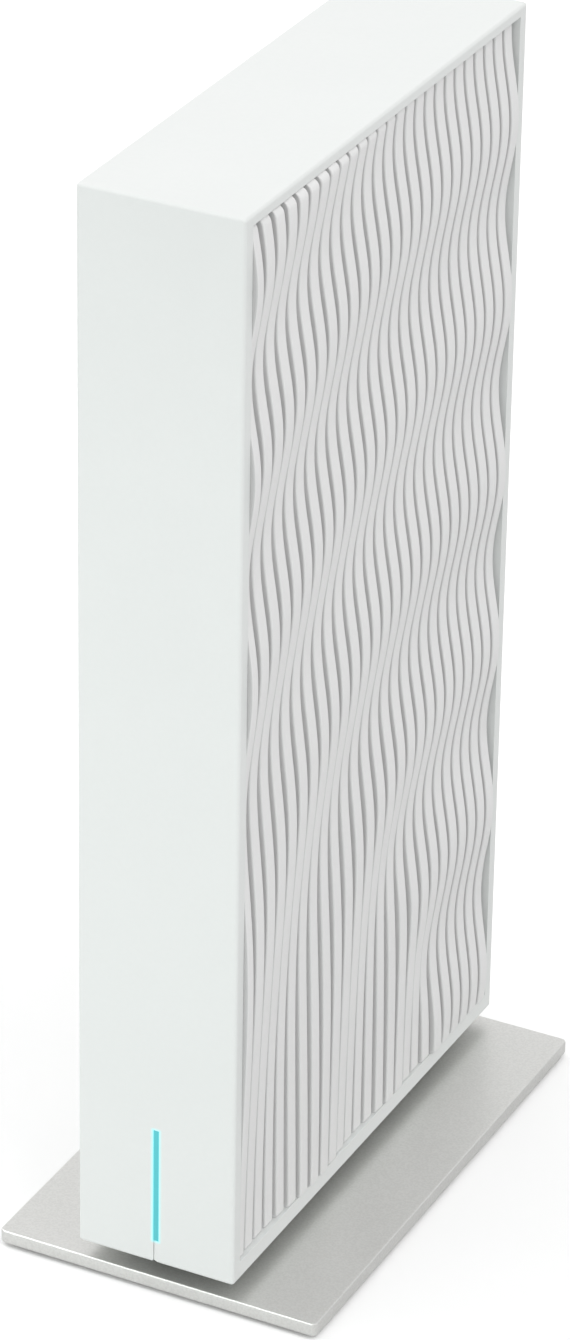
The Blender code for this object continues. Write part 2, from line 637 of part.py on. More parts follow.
def make_controls(finishes):
    make_switch("power_switch", POWER_LEVEL, finishes["switch"])
    make_switch("pair_switch", PAIR_LEVEL, finishes["switch"])
    make_switch("reset_switch", RESET_LEVEL, finishes["switch"])
    button = finishes["button"]
    make_button("power_button", POWER_LEVEL, 3.5 * MM, 58.8 * MM, POWER_TRAVEL, button)
    make_button("pair_button", PAIR_LEVEL, 3.0 * MM, 58.6 * MM, PAIR_TRAVEL, button)
    make_button("reset_button", RESET_LEVEL, 1.2 * MM, 57.4 * MM, RESET_TRAVEL, button)


# Antennas -----------------------------------------------------------------------------------------

# name, side of the carrier, front edge, width, height
ANTENNAS = (("antenna_low_band_1", 1, -45.0, 22.0, 52.0), ("antenna_low_band_2", 1, 20.0, 22.0, 52.0),
            ("antenna_high_band_1", -1, -31.0, 16.0, 38.0), ("antenna_high_band_2", -1, 8.0, 16.0, 38.0))
ANTENNA_FOOT = 158.0 * MM
PLUG_LEVEL = 135.0 * MM


def make_antenna_carrier(finish):
    """Upright web that holds the antennas in the top of the tower, clipped to the chassis."""
    carrier = box("antenna_carrier", (-MM, -48 * MM, above(150 * MM)),
                  (MM, 48 * MM, above(217 * MM)), finish)
    arms = bmesh.new()
    for y in (-46, 42):
        add_box(arms, (CHASSIS_X[1] + GAP, y * MM, above(151 * MM)),
                (-0.5 * MM, (y + 4) * MM, above(155 * MM)))
        add_box(arms, (CHASSIS_X[1] + GAP, y * MM, above(206 * MM)),
                (-0.5 * MM, (y + 4) * MM, above(210 * MM)))
    boolean(carrier, "antenna_carrier_arms", arms, "UNION")


def smooth_path(points, steps=4):
    """Catmull-Rom curve through a few hand-chosen points."""
    points = [Vector(point) for point in points]
    ends = [2 * points[0] - points[1], *points, 2 * points[-1] - points[-2]]
    path = []
    for before, start, end, after in zip(ends, ends[1:], ends[2:], ends[3:]):
        for step in range(steps):
            t = step / steps
            path.append(0.5 * (2 * start + (end - before) * t
                               + (2 * before - 5 * start + 4 * end - after) * t * t
                               + (3 * start - before - 3 * end + after) * t ** 3))
    path.append(points[-1])
    return path


def make_coax(name, path, finish):
    """Thin aerial lead as a round tube along a path."""
    curve = bpy.data.curves.new(name, "CURVE")
    curve.dimensions = "3D"
    curve.bevel_depth = 0.6 * MM
    curve.bevel_resolution = 2
    curve.use_fill_caps = True
    spline = curve.splines.new("POLY")
    spline.points.add(len(path) - 1)
    for slot, point in zip(spline.points, path):
        slot.co = (*point, 1.0)
    curve.materials.append(finish)
    bpy.context.scene.collection.objects.link(bpy.data.objects.new(name, curve))


def make_antennas(finishes):
    make_antenna_carrier(finishes["black_plastic"])
    for index, (name, side, start, width, height) in enumerate(ANTENNAS, start=1):
        faces = sorted((side * 1.3 * MM, side * 2.1 * MM))
        box(name, (faces[0], start * MM, above(ANTENNA_FOOT)),
            (faces[1], (start + width) * MM, above(ANTENNA_FOOT + height * MM)),
            finishes["antenna_board"])
        y = (start + width / 2) * MM
        plug = bmesh.new()
        add_rod(plug, (ON_BOARD, y, above(PLUG_LEVEL)), (ON_BOARD + 1.4 * MM, y, above(PLUG_LEVEL)),
                1.5 * MM, segments=12)
        smooth(object_from(f"aerial_plug_{index}", plug, finishes["gold"]))
        if side > 0:
            route = ((-5.4, 136.9), (-5.2, 140), (-3.2, 143.4), (-0.2, 145.6), (2.1, 148.4),
                     (2.5, 152.5), (1.9, 157.6))
        else:
            route = ((-5.4, 136.9), (-5.3, 141), (-4.0, 146.5), (-2.8, 152), (-2.0, 157.6))
        path = smooth_path([(x * MM, y, above(level * MM)) for x, level in route])
        make_coax(f"aerial_lead_{index}", path, finishes["lead"])


def make_finishes():
    white = (0.83, 0.84, 0.83)
    return {
        "white_shell": material("white_shell", white, 0.42),
        "wave_white": material("wave_white", (0.78, 0.79, 0.78), 0.48),
        "base_metal": material("base_metal", (0.62, 0.62, 0.60), 0.38, 0.9),
        "rubber": material("rubber", (0.06, 0.06, 0.06), 0.85),
        "black_plastic": material("black_plastic", (0.03, 0.03, 0.03), 0.55),
        "light_guide": material("light_guide", (0.08, 0.72, 0.78), 0.25, glow=2.0),
        "circuit_board": material("circuit_board", (0.02, 0.14, 0.07), 0.45),
        "antenna_board": material("antenna_board", (0.02, 0.05, 0.12), 0.45),
        "chip": material("chip", (0.03, 0.03, 0.035), 0.5),
        "coil": material("coil", (0.10, 0.10, 0.11), 0.6),
        "tin": material("tin", (0.72, 0.72, 0.70), 0.35, 1.0),
        "aluminium_can": material("aluminium_can", (0.75, 0.75, 0.76), 0.3, 1.0),
        "heatsink": material("heatsink", (0.60, 0.61, 0.62), 0.4, 1.0),
        "thermal_pad": material("thermal_pad", (0.45, 0.55, 0.70), 0.8),
        "steel": material("steel", (0.55, 0.55, 0.56), 0.3, 1.0),
        "jack": material("jack", (0.05, 0.05, 0.05), 0.4),
        "switch": material("switch", (0.08, 0.08, 0.08), 0.5),
        "button": material("button", (0.70, 0.71, 0.71), 0.45),
        "lamp": material("lamp", (0.85, 0.90, 0.80), 0.3),
        "ribbon": material("ribbon", (0.75, 0.75, 0.72), 0.5),
        "white_connector": material("white_connector", (0.80, 0.79, 0.74), 0.5),
        "gold": material("gold", (0.80, 0.60, 0.25), 0.3, 1.0),
        "lead": material("lead", (0.04, 0.04, 0.04), 0.5),
    }


def main():
    clear_scene()
    finishes = make_finishes()
    make_base_plate(finishes["base_metal"])
    make_foot_mat(finishes["rubber"])
    make_neck(finishes["black_plastic"])
    make_base_screws(finishes["steel"])
    make_main_frame(finishes["white_shell"])
    make_wave_panel("wave_panel_right", 1, finishes["wave_white"])
    make_wave_panel("wave_panel_left", -1, finishes["wave_white"])
    make_rear_panel(finishes["white_shell"])
    make_status_light(finishes)
    make_chassis(finishes["black_plastic"])
    make_main_board(finishes["circuit_board"])
    make_board_screws(finishes["steel"])
    make_components(finishes)
    make_heatsink(finishes["heatsink"])
    make_network_jacks(finishes["jack"])
    make_power_jack(finishes["jack"])
    make_controls(finishes)
    make_antennas(finishes)
    bpy.context.view_layer.update()


main()
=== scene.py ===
"""Looks of the mesh wifi node: fine casing, rippled sides, metal base, light bar and sockets."""
import json
import math

import bmesh
import bpy
from mathutils import Matrix, Vector


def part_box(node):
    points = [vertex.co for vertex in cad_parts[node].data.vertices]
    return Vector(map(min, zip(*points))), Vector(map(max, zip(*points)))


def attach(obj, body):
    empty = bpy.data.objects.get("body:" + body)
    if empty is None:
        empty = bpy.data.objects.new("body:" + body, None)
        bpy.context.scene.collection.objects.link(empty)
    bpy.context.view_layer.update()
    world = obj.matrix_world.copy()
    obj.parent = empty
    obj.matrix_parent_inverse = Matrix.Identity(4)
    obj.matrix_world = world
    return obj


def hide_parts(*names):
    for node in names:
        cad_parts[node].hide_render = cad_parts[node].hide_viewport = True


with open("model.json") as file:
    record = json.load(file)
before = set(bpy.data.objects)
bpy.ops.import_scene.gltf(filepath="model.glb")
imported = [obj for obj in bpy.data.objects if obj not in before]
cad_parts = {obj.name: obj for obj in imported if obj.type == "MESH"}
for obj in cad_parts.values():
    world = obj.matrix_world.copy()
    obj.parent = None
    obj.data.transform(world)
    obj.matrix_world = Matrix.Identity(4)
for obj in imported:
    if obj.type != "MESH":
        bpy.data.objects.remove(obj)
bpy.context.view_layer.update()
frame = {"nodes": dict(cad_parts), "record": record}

MM = 0.001
HOUSING = "housing"


# Driving sizes, read from the frame -----------------------------------------------------------

casing_low, casing_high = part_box("main_frame")
plate_low, plate_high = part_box("base_plate")
HALF_WIDTH = casing_high.x
HALF_DEPTH = casing_high.y
FRONT = casing_low.y
REAR = casing_high.y
CASING_BOTTOM = casing_low.z
CASING_TOP = casing_high.z

# Side pockets of the casing, measured from its outer faces
FRONT_BORDER = 2.75 * MM
REAR_BORDER = 3.0 * MM
TOP_BORDER = 2.1 * MM
BOTTOM_BORDER = 4.1 * MM
POCKET_FRONT = FRONT + FRONT_BORDER
POCKET_REAR = REAR - REAR_BORDER
POCKET_BOTTOM = CASING_BOTTOM + BOTTOM_BORDER
POCKET_TOP = CASING_TOP - TOP_BORDER
CASING_ROUNDING = 0.7 * MM

# Light bar in the middle of the front
BAR_HALF_WIDTH = 0.6 * MM
BAR_BOTTOM = CASING_BOTTOM + 5.2 * MM
BAR_TOP = CASING_BOTTOM + 30.7 * MM
BAR_GAP = 0.05 * MM                  # between the bar and its slot
BAR_INSET = 0.06 * MM                # behind the front's face

# Side panels and their ribs, counted from the front
PANEL_GAP = 0.05 * MM                # between a panel and its pocket
PANEL_BACK = 12.9 * MM               # from the tower's middle
GROOVE_FLOOR = 14.5 * MM
RIB_COUNT = 26
RIB_PITCH = 4.323 * MM
RIB_WIDTH = 3.12 * MM
FIRST_RIB_REAR_EDGE = 5.28 * MM      # behind the casing's front
RIB_FRONT_ROUNDING = 0.42 * MM
RIB_REAR_ROUNDING = 0.22 * MM
RIB_TOP_ROUNDING = 1.7 * MM
RIB_BOTTOM_ROUNDING = 0.7 * MM
RIB_STEPS = 168
END_STEPS = 5

# Swell of the ribs: a hollow and a crest are one count apart
SWELL_HEIGHT = 1.08 * MM             # either side of the casing's side face
SWELL_FULL_FROM = 75.0 * MM          # level where the swell has its full height
SWELL_LOW_SHARE = 0.85               # of the full height, at the foot
SWELL_SIDE_STEP = 0.5 * MM           # most that a rib may stand out past its neighbour
SWELL_TOP = 222.4 * MM               # first hollow of the rearmost rib
SWELL_STEP = 19.0 * MM               # hollow to crest on the rearmost rib
SWELL_STRETCH = 1.5 * MM             # longer steps near the foot
SWELL_STRETCH_POWER = 6
SWELL_DROP = 30.2 * MM               # how much lower the first hollow is on the foremost rib
SWELL_DROP_POWER = 2.07
SWELL_FAN = 0.0113                   # how fast the steps lengthen towards the front and the foot
SWELL_FAN_POWER = 2.4
SWELL_FAN_LEAST = 0.005
SWELL_LATE_FAN = 0.11                # extra lengthening, from a late count on
SWELL_LATE_COUNT = 7.5
SWELL_COUNTS = (-2.0, 12.0)          # range that is searched
SWELL_SEARCH_STEPS = 40
RIB_SHARE = 1.0 / (RIB_COUNT - 2)    # of the way forward, from one rib to the next


# Shared surface effects ------------------------------------------------------------------------

COARSE_SHARE = 0.3                   # of the coarser of the two grains in a bump


def new_group(name, inputs, outputs):
    """Empty shader node group with named sockets."""
    group = bpy.data.node_groups.new(name, "ShaderNodeTree")
    for label, kind, value in inputs:
        socket = group.interface.new_socket(label, in_out="INPUT", socket_type=kind)
        socket.default_value = value
    for label, kind in outputs:
        group.interface.new_socket(label, in_out="OUTPUT", socket_type=kind)
    start = group.nodes.new("NodeGroupInput")
    end = group.nodes.new("NodeGroupOutput")
    return group, start, end


def object_place(tree):
    return tree.nodes.new("ShaderNodeTexCoord").outputs["Object"]


def noise(tree, place, scale, detail, roughness=0.5):
    made = tree.nodes.new("ShaderNodeTexNoise")
    made.inputs["Detail"].default_value = detail
    made.inputs["Roughness"].default_value = roughness
    connect(tree, place, made.inputs["Vector"])
    connect(tree, scale, made.inputs["Scale"])
    return made.outputs["Fac"]


def connect(tree, source, socket):
    """Link a socket, or set its value when the source is a plain number."""
    if isinstance(source, (int, float)):
        socket.default_value = source
    else:
        tree.links.new(source, socket)


def math_node(tree, operation, first, second=0.5, clamp=False):
    made = tree.nodes.new("ShaderNodeMath")
    made.operation = operation
    made.use_clamp = clamp
    connect(tree, first, made.inputs[0])
    connect(tree, second, made.inputs[1])
    return made.outputs[0]


def remap(tree, value, from_low, from_high, to_low, to_high, smooth=False):
    made = tree.nodes.new("ShaderNodeMapRange")
    made.interpolation_type = "SMOOTHSTEP" if smooth else "LINEAR"
    connect(tree, value, made.inputs["Value"])
    connect(tree, from_low, made.inputs["From Min"])
    connect(tree, from_high, made.inputs["From Max"])
    connect(tree, to_low, made.inputs["To Min"])
    connect(tree, to_high, made.inputs["To Max"])
    return made.outputs["Result"]


def blend(tree, factor, first, second):
    """Mix two colours, each a socket or an (r, g, b) value, by a factor socket."""
    made = tree.nodes.new("ShaderNodeMix")
    made.data_type = "RGBA"
    tree.links.new(factor, made.inputs["Factor"])
    for source, label in ((first, "A"), (second, "B")):
        if isinstance(source, tuple):
            made.inputs[label].default_value = shade(source)
        else:
            tree.links.new(source, made.inputs[label])
    return made.outputs["Result"]


def blend_numbers(tree, share, first, second):
    """Mix two number sockets by a share socket."""
    made = tree.nodes.new("ShaderNodeMix")
    tree.links.new(share, made.inputs["Factor"])
    tree.links.new(first, made.inputs["A"])
    tree.links.new(second, made.inputs["B"])
    return made.outputs["Result"]


def split_place(tree):
    """The X, Y and Z outputs of a point's place on its object."""
    split = tree.nodes.new("ShaderNodeSeparateXYZ")
    tree.links.new(object_place(tree), split.inputs["Vector"])
    return split.outputs


def shade(value):
    return (*value, 1.0)


def make_grain_group():
    """Fine moulded or blasted grain: a height for a Bump node."""
    group, start, end = new_group(
        "surface_grain",
        [("Scale", "NodeSocketFloat", 1500.0), ("Coarse share", "NodeSocketFloat", COARSE_SHARE)],
        [("Height", "NodeSocketFloat")])
    place = object_place(group)
    fine = noise(group, place, start.outputs["Scale"], detail=2.0)
    wide = math_node(group, "MULTIPLY", start.outputs["Scale"], 0.21)
    coarse = noise(group, place, wide, detail=1.0)
    height = blend_numbers(group, start.outputs["Coarse share"], fine, coarse)
    group.links.new(height, end.inputs["Height"])
    return group


def make_tone_group():
    """Slight clouding of a colour, as thick mouldings and anodised faces have."""
    group, start, end = new_group(
        "tone_clouding",
        [("Colour", "NodeSocketColor", (0.8, 0.8, 0.8, 1.0)),
         ("Darker", "NodeSocketColor", (0.7, 0.7, 0.7, 1.0)),
         ("Scale", "NodeSocketFloat", 30.0), ("Speckle", "NodeSocketFloat", 900.0),
         ("Speckle share", "NodeSocketFloat", 0.35)],
        [("Colour", "NodeSocketColor")])
    place = object_place(group)
    cloud = noise(group, place, start.outputs["Scale"], detail=4.0, roughness=0.6)
    speckle = noise(group, place, start.outputs["Speckle"], detail=1.0)
    total = blend_numbers(group, start.outputs["Speckle share"], cloud, speckle)
    factor = remap(group, total, 0.32, 0.68, 0.0, 1.0, smooth=True)
    colour = blend(group, factor, start.outputs["Colour"], start.outputs["Darker"])
    group.links.new(colour, end.inputs["Colour"])
    return group


def make_wear_group():
    """Roughness that drifts a little with handling, and shows faint wiped streaks."""
    group, start, end = new_group(
        "handled_roughness",
        [("Roughness", "NodeSocketFloat", 0.45), ("Spread", "NodeSocketFloat", 0.06)],
        [("Roughness", "NodeSocketFloat")])
    place = object_place(group)
    smear = noise(group, place, 22.0, detail=5.0, roughness=0.65)
    stretch = group.nodes.new("ShaderNodeMapping")
    stretch.inputs["Scale"].default_value = (1.0, 1.0, 0.15)
    group.links.new(place, stretch.inputs["Vector"])
    streak = noise(group, stretch.outputs["Vector"], 260.0, detail=2.0)
    both = math_node(group, "ADD", smear, streak)
    centred = math_node(group, "SUBTRACT", both, 1.0)
    spread = math_node(group, "MULTIPLY", centred, start.outputs["Spread"])
    total = math_node(group, "ADD", spread, start.outputs["Roughness"], clamp=True)
    group.links.new(total, end.inputs["Roughness"])
    return group


GRAIN = make_grain_group()
TONE = make_tone_group()
WEAR = make_wear_group()


def place_group(tree, group, **values):
    made = tree.nodes.new("ShaderNodeGroup")
    made.node_tree = group
    for label, value in values.items():
        made.inputs[label.replace("_", " ").capitalize()].default_value = value
    return made


def finish(name, colour, darker, roughness, grain, depth, metallic=0.0, cloud=30.0,
           spread=0.06, speckle=900.0, speckled=0.35):
    """Principled material with clouded colour, drifting roughness and a fine grain.

    grain is the number of bumps in a metre, and depth is their height in metres.
    """
    made = bpy.data.materials.new(name)
    made.use_nodes = True
    tree = made.node_tree
    shader = tree.nodes["Principled BSDF"]
    shader.inputs["Metallic"].default_value = metallic
    tone = place_group(tree, TONE, colour=shade(colour), darker=shade(darker), scale=cloud,
                       speckle=speckle, speckle_share=speckled)
    tree.links.new(tone.outputs["Colour"], shader.inputs["Base Color"])
    wear = place_group(tree, WEAR, roughness=roughness, spread=spread)
    tree.links.new(wear.outputs["Roughness"], shader.inputs["Roughness"])
    bumps = place_group(tree, GRAIN, scale=grain, coarse_share=COARSE_SHARE)
    bump = tree.nodes.new("ShaderNodeBump")
    bump.inputs["Distance"].default_value = depth
    tree.links.new(bumps.outputs["Height"], bump.inputs["Height"])
    tree.links.new(bump.outputs["Normal"], shader.inputs["Normal"])
    return made


def shader_of(made):
    """A finish's node tree, its shader, and the plain colour that feeds the shader."""
    shader = made.node_tree.nodes["Principled BSDF"]
    return made.node_tree, shader, shader.inputs["Base Color"].links[0].from_socket


# Mesh helpers ----------------------------------------------------------------------------------

def piece(name, shape, material, smooth_angle=35.0):
    """Object from a bmesh, with its place in its mesh."""
    bmesh.ops.recalc_face_normals(shape, faces=shape.faces)
    mesh = bpy.data.meshes.new(name)
    shape.to_mesh(mesh)
    shape.free()
    mesh.materials.append(material)
    made = bpy.data.objects.new(name, mesh)
    bpy.context.scene.collection.objects.link(made)
    mesh.shade_smooth()
    mesh.set_sharp_from_angle(angle=math.radians(smooth_angle))
    return made


def add_block(shape, low, high):
    """Box between two corners."""
    low, high = Vector(low), Vector(high)
    place = Matrix.Translation((low + high) / 2) @ Matrix.Diagonal((*(high - low), 1.0))
    bmesh.ops.create_cube(shape, size=1.0, matrix=place)


def add_rod(shape, start, end, radius):
    start, end = Vector(start), Vector(end)
    along = end - start
    turn = along.to_track_quat("Z", "Y").to_matrix().to_4x4()
    place = Matrix.Translation((start + end) / 2) @ turn
    bmesh.ops.create_cone(shape, cap_ends=True, segments=32, radius1=radius, radius2=radius,
                          depth=along.length, matrix=place)


def round_edges(shape, edges, rounding, segments):
    bmesh.ops.bevel(shape, geom=edges, offset=rounding, segments=segments, affect="EDGES",
                    profile=0.5, material=-1)


def upright_edges(shape):
    return [edge for edge in shape.edges
            if abs(edge.verts[0].co.z - edge.verts[1].co.z) > 1 * MM]


def rounded_block(low, high, rounding, segments):
    """Bmesh box with every edge rounded."""
    shape = bmesh.new()
    add_block(shape, low, high)
    round_edges(shape, shape.edges[:], rounding, segments)
    return shape


def combine(target, shapes, operation="DIFFERENCE"):
    """Cut shapes from a piece, or join them on, and keep only the result."""
    for shape in shapes:
        tool = piece(target.name + "_tool", shape, target.data.materials[0])
        step = target.modifiers.new("tool", "BOOLEAN")
        step.operation = operation
        step.solver = "EXACT"
        step.object = tool
        evaluated = target.evaluated_get(bpy.context.evaluated_depsgraph_get())
        result = bpy.data.meshes.new_from_object(evaluated)
        target.modifiers.clear()
        target.data = result
        bpy.data.objects.remove(tool, do_unlink=True)


def soften(target, width, segments, angle=50.0):
    """Round the edges that cuts have left sharp."""
    edge = target.modifiers.new("edge", "BEVEL")
    edge.width = width
    edge.segments = segments
    edge.limit_method = "ANGLE"
    edge.angle_limit = math.radians(angle)
    edge.harden_normals = True


def settle_normals(target):
    """Keep broad flat faces flat in their shading, beside rounded edges."""
    step = target.modifiers.new("normals", "WEIGHTED_NORMAL")
    step.keep_sharp = True
    step.weight = 100


def on_housing(made, slot, *nodes):
    """Carry a piece on the housing and hide the nodes it stands for. The slot argument is not used.
    """
    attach(made, HOUSING)
    if nodes:
        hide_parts(*nodes)


# Finishes --------------------------------------------------------------------------------------

GLOW_REACH = 0.75 * MM


def make_glow_group():
    """Mask for the glow painted on the front: how near a point of the front is to the light bar, 1
    at its rim, 0 past the glow's reach.
    """
    group, start, end = new_group("bar_glow", [("Reach", "NodeSocketFloat", GLOW_REACH)],
                                  [("Mask", "NodeSocketFloat")])
    place = split_place(group)
    aside = math_node(group, "ABSOLUTE", place["X"])
    past_side = math_node(group, "SUBTRACT", aside, BAR_HALF_WIDTH)
    past_side = math_node(group, "MAXIMUM", past_side, 0.0)
    from_middle = math_node(group, "SUBTRACT", place["Z"], (BAR_BOTTOM + BAR_TOP) / 2)
    from_middle = math_node(group, "ABSOLUTE", from_middle)
    past_end = math_node(group, "SUBTRACT", from_middle, (BAR_TOP - BAR_BOTTOM) / 2)
    past_end = math_node(group, "MAXIMUM", past_end, 0.0)
    side_square = math_node(group, "POWER", past_side, 2.0)
    end_square = math_node(group, "POWER", past_end, 2.0)
    distance = math_node(group, "SQRT", math_node(group, "ADD", side_square, end_square))
    near = remap(group, distance, 0.0, start.outputs["Reach"], 1.0, 0.0, smooth=True)
    at_front = remap(group, place["Y"], FRONT + 3 * MM, FRONT + 4 * MM, 1.0, 0.0)
    mask = math_node(group, "MULTIPLY", near, at_front, clamp=True)
    group.links.new(mask, end.inputs["Mask"])
    return group


def make_white_shell():
    """White satin moulding, with the light bar's cyan glow painted onto the front around the bar, in
    its base colour and as a faint emission.
    """
    made = finish("white_shell", (0.755, 0.772, 0.763), (0.742, 0.760, 0.751), 0.42,
                  grain=2600.0, depth=0.006 * MM)
    tree, shader, plain = shader_of(made)
    mask = place_group(tree, make_glow_group(), reach=GLOW_REACH).outputs["Mask"]
    # Painted glow: the bar's cyan light spilling onto the white front, painted into the base colour
    # and emitted by the shell.
    painted_glow_colour = blend(tree, mask, plain, (0.50, 0.80, 0.82))
    tree.links.new(painted_glow_colour, shader.inputs["Base Color"])
    light = blend(tree, mask, (0.0, 0.0, 0.0), (0.06, 0.20, 0.21))
    tree.links.new(light, shader.inputs["Emission Color"])
    shader.inputs["Emission Strength"].default_value = 1.0
    return made


def make_wave_finish():
    """Satin white ribs with painted shade on the groove walls, darkest on the foremost rib's front
    wall.
    """
    made = finish("wave_white", (0.79, 0.79, 0.788), (0.77, 0.77, 0.768), 0.44,
                  grain=2600.0, depth=0.006 * MM)
    tree, shader, plain = shader_of(made)
    facing = tree.nodes.new("ShaderNodeSeparateXYZ")
    tree.links.new(tree.nodes.new("ShaderNodeNewGeometry").outputs["Normal"],
                   facing.inputs["Vector"])
    # Painted shade: walls that face forward or rearward get a darker colour for the shade in the
    # grooves, and the foremost rib's front wall gets the most.
    foremost = remap(tree, split_place(tree)["Y"], POCKET_FRONT + 0.15 * MM,
                     POCKET_FRONT + 0.5 * MM, 0.62, 0.14)
    forward = remap(tree, facing.outputs["Y"], -0.35, -0.9, 0.0, foremost, smooth=True)
    rearward_painted_shade = remap(tree, facing.outputs["Y"], 0.3, 0.8, 0.0, 0.4, smooth=True)
    painted_wall_shade = math_node(tree, "ADD", forward, rearward_painted_shade, clamp=True)
    # Grey of the painted groove shade, mixed over the white.
    tree.links.new(blend(tree, painted_wall_shade, plain, (0.40, 0.40, 0.40)), shader.inputs["Base Color"])
    return made


def make_board_finish(name, lacquer, track, track_scale):
    """Circuit board: copper tracks showing paler through the lacquer, with small gilt pads."""
    made = finish(name, lacquer, tuple(0.75 * part for part in lacquer), 0.38,
                  grain=900.0, depth=0.006 * MM, cloud=120.0)
    tree, shader, plain = shader_of(made)
    swap = tree.nodes.new("ShaderNodeMapping")
    swap.inputs["Rotation"].default_value = (0.0, math.pi / 2, 0.0)
    tree.links.new(object_place(tree), swap.inputs["Vector"])
    tracks = tree.nodes.new("ShaderNodeTexBrick")
    tracks.inputs["Scale"].default_value = track_scale
    tracks.inputs["Mortar Size"].default_value = 0.035
    tracks.inputs["Brick Width"].default_value = 0.9
    tracks.inputs["Row Height"].default_value = 0.22
    tree.links.new(swap.outputs["Vector"], tracks.inputs["Vector"])
    pads = tree.nodes.new("ShaderNodeTexVoronoi")
    pads.inputs["Scale"].default_value = track_scale * 1.6
    tree.links.new(swap.outputs["Vector"], pads.inputs["Vector"])
    dot = remap(tree, pads.outputs["Distance"], 0.10, 0.14, 1.0, 0.0)
    tracked = blend(tree, tracks.outputs["Fac"], plain, track)
    tree.links.new(blend(tree, dot, tracked, (0.62, 0.46, 0.18)), shader.inputs["Base Color"])
    return made


def make_light_finish():
    """Lit acrylic: deep cyan along its middle, paler towards its two long edges."""
    made = finish("light_guide", (0.03, 0.26, 0.28), (0.03, 0.24, 0.26), 0.3,
                  grain=900.0, depth=0.002 * MM)
    tree, shader, _ = shader_of(made)
    aside = math_node(tree, "ABSOLUTE", split_place(tree)["X"])
    edge = remap(tree, aside, 0.46 * MM, 0.62 * MM, 0.0, 1.0, smooth=True)
    light = blend(tree, edge, (0.065, 0.31, 0.34), (0.22, 0.72, 0.75))
    tree.links.new(light, shader.inputs["Emission Color"])
    shader.inputs["Emission Strength"].default_value = 1.0
    return made


FINISH = {
    "white_shell": make_white_shell(),
    "wave_white": make_wave_finish(),
    "base_metal": finish("base_metal", (0.81, 0.81, 0.79), (0.75, 0.75, 0.73), 0.36,
                         grain=2300.0, depth=0.008 * MM, metallic=0.9, spread=0.03,
                         speckle=2200.0, speckled=0.85),
    "rubber": finish("rubber", (0.055, 0.055, 0.055), (0.04, 0.04, 0.04), 0.82,
                     grain=1400.0, depth=0.05 * MM),
    "black_plastic": finish("black_plastic", (0.03, 0.03, 0.031), (0.022, 0.022, 0.023), 0.55,
                            grain=1800.0, depth=0.02 * MM),
    "light_guide": make_light_finish(),
    "circuit_board": make_board_finish("circuit_board", (0.015, 0.13, 0.06),
                                       (0.04, 0.26, 0.12), 160.0),
    "antenna_board": make_board_finish("antenna_board", (0.015, 0.05, 0.13),
                                       (0.40, 0.28, 0.12), 60.0),
    "chip": finish("chip", (0.028, 0.028, 0.032), (0.02, 0.02, 0.024), 0.5,
                   grain=4000.0, depth=0.01 * MM),
    "coil": finish("coil", (0.10, 0.10, 0.11), (0.07, 0.07, 0.08), 0.62,
                   grain=3000.0, depth=0.03 * MM),
    "tin": finish("tin", (0.72, 0.72, 0.70), (0.62, 0.62, 0.60), 0.32,
                  grain=900.0, depth=0.01 * MM, metallic=1.0),
    "aluminium_can": finish("aluminium_can", (0.75, 0.75, 0.76), (0.68, 0.68, 0.69), 0.28,
                            grain=1200.0, depth=0.005 * MM, metallic=1.0),
    "heatsink": finish("heatsink", (0.60, 0.61, 0.62), (0.52, 0.53, 0.54), 0.38,
                       grain=1500.0, depth=0.012 * MM, metallic=1.0),
    "thermal_pad": finish("thermal_pad", (0.42, 0.52, 0.68), (0.36, 0.46, 0.62), 0.8,
                          grain=900.0, depth=0.04 * MM),
    "steel": finish("steel", (0.55, 0.55, 0.56), (0.45, 0.45, 0.46), 0.3,
                    grain=1500.0, depth=0.006 * MM, metallic=1.0),
    "jack": finish("jack", (0.035, 0.035, 0.037), (0.025, 0.025, 0.027), 0.42,
                   grain=2200.0, depth=0.012 * MM),
    "switch": finish("switch", (0.06, 0.06, 0.062), (0.045, 0.045, 0.047), 0.5,
                     grain=2200.0, depth=0.012 * MM),
    "button": finish("button", (0.66, 0.67, 0.67), (0.63, 0.64, 0.64), 0.45,
                     grain=2600.0, depth=0.008 * MM),
    "lamp": finish("lamp", (0.85, 0.90, 0.80), (0.78, 0.84, 0.74), 0.28,
                   grain=900.0, depth=0.004 * MM),
    "ribbon": finish("ribbon", (0.72, 0.72, 0.69), (0.62, 0.62, 0.60), 0.5,
                     grain=1100.0, depth=0.02 * MM),
    "white_connector": finish("white_connector", (0.78, 0.77, 0.71), (0.72, 0.71, 0.66), 0.5,
                              grain=1800.0, depth=0.01 * MM),
    "gold": finish("gold", (0.83, 0.62, 0.26), (0.72, 0.52, 0.20), 0.28,
                   grain=1500.0, depth=0.004 * MM, metallic=1.0),
    "lead": finish("lead", (0.035, 0.035, 0.036), (0.025, 0.025, 0.026), 0.5,
                   grain=2500.0, depth=0.01 * MM),
}


def body_of(node):
    """Body that carries a node of the frame."""
    for body, nodes in frame["record"]["behaviour"]["bodies"].items():
        if node in nodes:
            return body
    return HOUSING


def slot_of(node):
    """Material slot that the record gives a node."""
    for entry in frame["record"]["subparts"]:
        if entry["node"] == node:
            return entry["material_slot"]


def dress_cad_nodes():
    """Give each carried-over node the finish of its record slot."""
    for name, node in frame["nodes"].items():
        node.data.materials.clear()
        node.data.materials.append(FINISH[slot_of(name)])


def refined(node, name, width, segments=2):
    """Copy of a node's shape with its edges rounded, on its body, standing for the node."""
    shape = bmesh.new()
    shape.from_mesh(frame["nodes"][node].data)
    bmesh.ops.remove_doubles(shape, verts=shape.verts, dist=MM / 500)
    bmesh.ops.dissolve_limit(shape, angle_limit=math.radians(0.5), verts=shape.verts,
                             edges=shape.edges, delimit={"NORMAL"})
    made = piece(name, shape, FINISH[slot_of(node)])
    soften(made, width, segments, angle=40.0)
    settle_normals(made)
    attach(made, body_of(node))
    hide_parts(node)
    return made


# Casing ----------------------------------------------------------------------------------------

